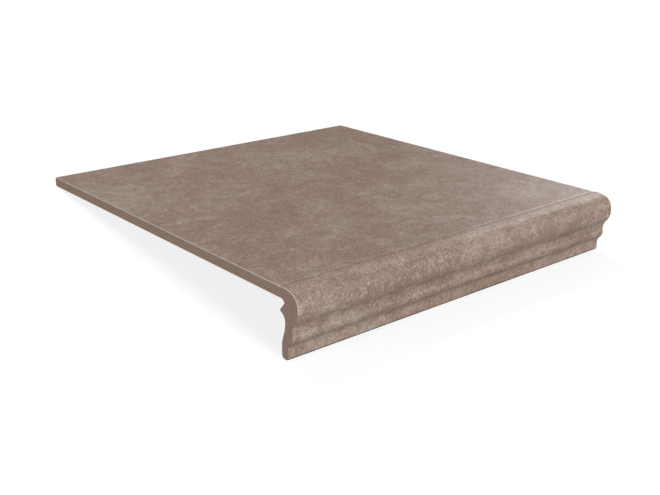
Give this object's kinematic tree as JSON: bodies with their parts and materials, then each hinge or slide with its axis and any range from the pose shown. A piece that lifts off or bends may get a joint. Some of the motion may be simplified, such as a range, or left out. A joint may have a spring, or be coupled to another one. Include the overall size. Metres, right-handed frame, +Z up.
{
  "type": "stair tread tile",
  "caption": "Square stone look porcelain stair tread tile with a rounded, moulded drop nosing along its front edge.",
  "frame": {"origin": "centre of the tile's box, on the floor it rests on", "axes": "+X along the nosing, -Y towards the front of the step, +Z up; the loose tile lies leaned back 7.22 degrees on its lip and its rear edge"},
  "size_m": [0.33, 0.346, 0.0501],
  "materials": {
    "tile_body": "matt"
  },
  "bodies": {
    "root": {"stair_tread_tile": "tile_body"}
  },
  "joints": []
}
